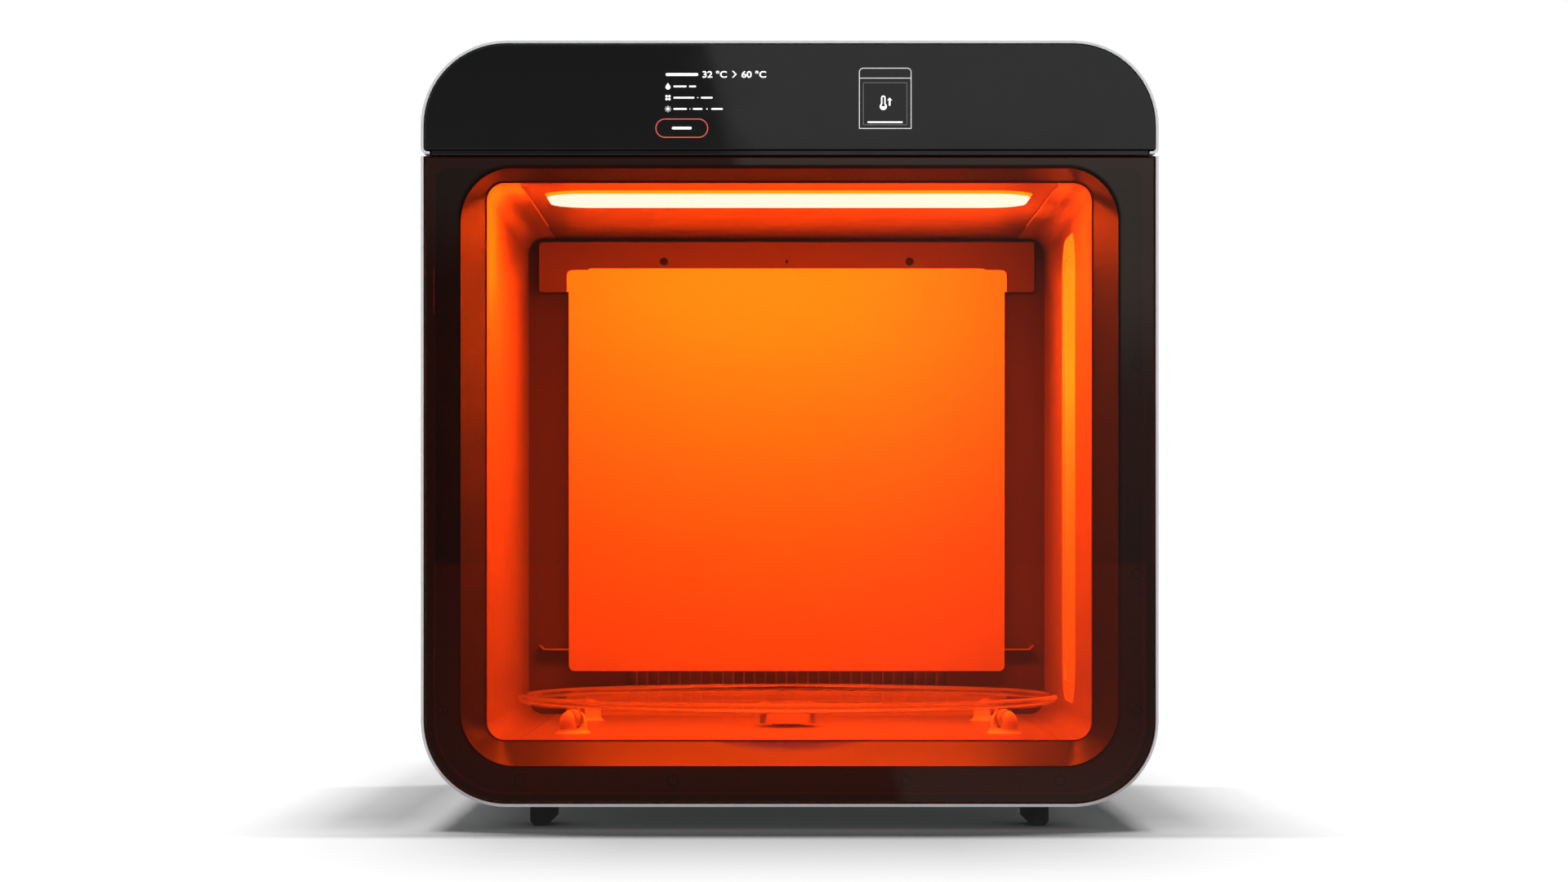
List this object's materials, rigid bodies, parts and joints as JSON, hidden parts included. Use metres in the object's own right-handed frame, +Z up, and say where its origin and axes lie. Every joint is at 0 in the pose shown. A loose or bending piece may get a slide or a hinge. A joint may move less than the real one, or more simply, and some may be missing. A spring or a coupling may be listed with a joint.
{
  "type": "resin print post-cure station",
  "caption": "Heated light-curing cabinet with rounded casing, hinged amber glass door, lit chamber, glass turntable on rollers and a black glass display console above.",
  "frame": {"origin": "on the floor under the middle of the overall box", "axes": "+Z up, the door and console face -Y, +X to the right of someone facing the door"},
  "size_m": [0.57, 0.58, 0.61],
  "materials": {
    "casing_silver": "satin silver coat on aluminium sheet",
    "rear_panel": "fine-textured grey powder coat",
    "screw_steel": "black oxide",
    "rubber_black": "matt",
    "sheet_steel": "zinc plated",
    "console_black": "back-printed black, polished",
    "moulded_black": "fine texture",
    "door_frame_black": "matt",
    "display_panel": "gloss",
    "fascia_black": "matt dark coat",
    "funnel_grey": "satin",
    "chamber_white": "satin white coat on aluminium sheet",
    "rear_wall_grey": "satin grey coat on aluminium sheet",
    "reflector_white": "satin white coat on aluminium sheet",
    "roller_plastic": "satin",
    "roller_grey": "satin",
    "turntable_clear": "polished",
    "hub_grey": "satin",
    "bearing_bronze": "machined",
    "motor_dark": "satin",
    "amber_glass": "body-tinted light filter, polished",
    "heater_aluminium": "extruded",
    "circuit_green": "solder mask",
    "lamp_lens": "frosted, lit",
    "side_lens": "frosted, lit"
  },
  "bodies": {
    "cabinet": {"air_duct": "sheet_steel", "base_tray": "sheet_steel", "bracket_screws": "screw_steel", "ceiling_lamp_board": "circuit_green", "ceiling_lamp_housing": "heater_aluminium", "ceiling_lamp_lens": "lamp_lens", "chamber_ceiling": "chamber_white", "chamber_floor": "chamber_white", "chamber_left_liner": "chamber_white", "chamber_rear_wall": "rear_wall_grey", "chamber_right_liner": "chamber_white", "circulation_fan_frame": "moulded_black", "console_frame": "moulded_black", "console_glass": "console_black", "control_board": "circuit_green", "cooling_fan_frame": "moulded_black", "drive_motor": "motor_dark", "fan_guard": "sheet_steel", "fascia_screws": "screw_steel", "feet": "rubber_black", "front_fascia": "fascia_black", "heater_core": "heater_aluminium", "hinge_arms": "screw_steel", "hinge_pins": "screw_steel", "latch_magnets": "screw_steel", "lower_reflector": "reflector_white", "lower_shell": "casing_silver", "motor_bracket": "sheet_steel", "opening_funnel": "funnel_grey", "power_inlet": "moulded_black", "power_supply": "sheet_steel", "rear_cover": "rear_panel", "rear_reflector": "reflector_white", "rear_screws": "screw_steel", "reflector_bracket": "rear_wall_grey", "reflector_clips": "chamber_white", "roller_housings": "roller_plastic", "shaft_bearing": "bearing_bronze", "side_lamp_board": "circuit_green", "side_lamp_housing": "heater_aluminium", "side_lamp_lens": "side_lens", "top_deck": "sheet_steel", "touch_display": "display_panel", "upper_shell": "casing_silver"},
    "door": {"door_glass": "amber_glass", "door_rim": "casing_silver", "door_frame": "door_frame_black", "door_gasket": "rubber_black", "hinge_blocks": "moulded_black", "strike_plates": "screw_steel"},
    "turntable": {"turntable_glass": "turntable_clear", "turntable_bead": "turntable_clear", "turntable_hub": "hub_grey"},
    "roller_front_right": {"roller_1": "roller_grey"},
    "roller_rear_right": {"roller_2": "roller_grey"},
    "roller_rear_left": {"roller_3": "roller_grey"},
    "roller_front_left": {"roller_4": "roller_grey"},
    "power_rocker": {"power_switch_rocker": "moulded_black"},
    "circulation_rotor": {"circulation_fan_rotor": "moulded_black"},
    "cooling_rotor": {"cooling_fan_rotor": "moulded_black"}
  },
  "joints": [
    {"name": "door_hinge", "type": "hinge", "parent": "cabinet", "child": "door", "pos_m": [-0.279, -0.277, 0.27], "axis": [0, 0, -1], "range_deg": [0, 105]},
    {"name": "turntable_spin", "type": "hinge", "parent": "cabinet", "child": "turntable", "pos_m": [0, 0, 0.0895], "axis": [0, 0, 1], "continuous": true},
    {"name": "roller_front_right_spin", "type": "hinge", "parent": "cabinet", "child": "roller_front_right", "pos_m": [0.17678, -0.11701, 0.0787], "axis": [0.8339, -0.5519, 0], "continuous": true},
    {"name": "roller_rear_right_spin", "type": "hinge", "parent": "cabinet", "child": "roller_rear_right", "pos_m": [0.17678, 0.11701, 0.0787], "axis": [0.8339, 0.5519, 0], "continuous": true},
    {"name": "roller_rear_left_spin", "type": "hinge", "parent": "cabinet", "child": "roller_rear_left", "pos_m": [-0.17678, 0.11701, 0.0787], "axis": [-0.8339, 0.5519, 0], "continuous": true},
    {"name": "roller_front_left_spin", "type": "hinge", "parent": "cabinet", "child": "roller_front_left", "pos_m": [-0.17678, -0.11701, 0.0787], "axis": [-0.8339, -0.5519, 0], "continuous": true},
    {"name": "power_switch", "type": "hinge", "parent": "cabinet", "child": "power_rocker", "pos_m": [-0.152, 0.282, 0.564], "axis": [-1, 0, 0], "range_deg": [0, 16]},
    {"name": "circulation_fan_spin", "type": "hinge", "parent": "cabinet", "child": "circulation_rotor", "pos_m": [0, 0.258, 0.29], "axis": [0, 1, 0], "continuous": true},
    {"name": "cooling_fan_spin", "type": "hinge", "parent": "cabinet", "child": "cooling_rotor", "pos_m": [0.19, 0.27, 0.564], "axis": [0, 1, 0], "continuous": true}
  ],
  "couplings": [
    {"joint": "roller_front_right_spin", "follows": "turntable_spin", "ratio": -26.5},
    {"joint": "roller_rear_right_spin", "follows": "turntable_spin", "ratio": -26.5},
    {"joint": "roller_rear_left_spin", "follows": "turntable_spin", "ratio": -26.5},
    {"joint": "roller_front_left_spin", "follows": "turntable_spin", "ratio": -26.5}
  ]
}
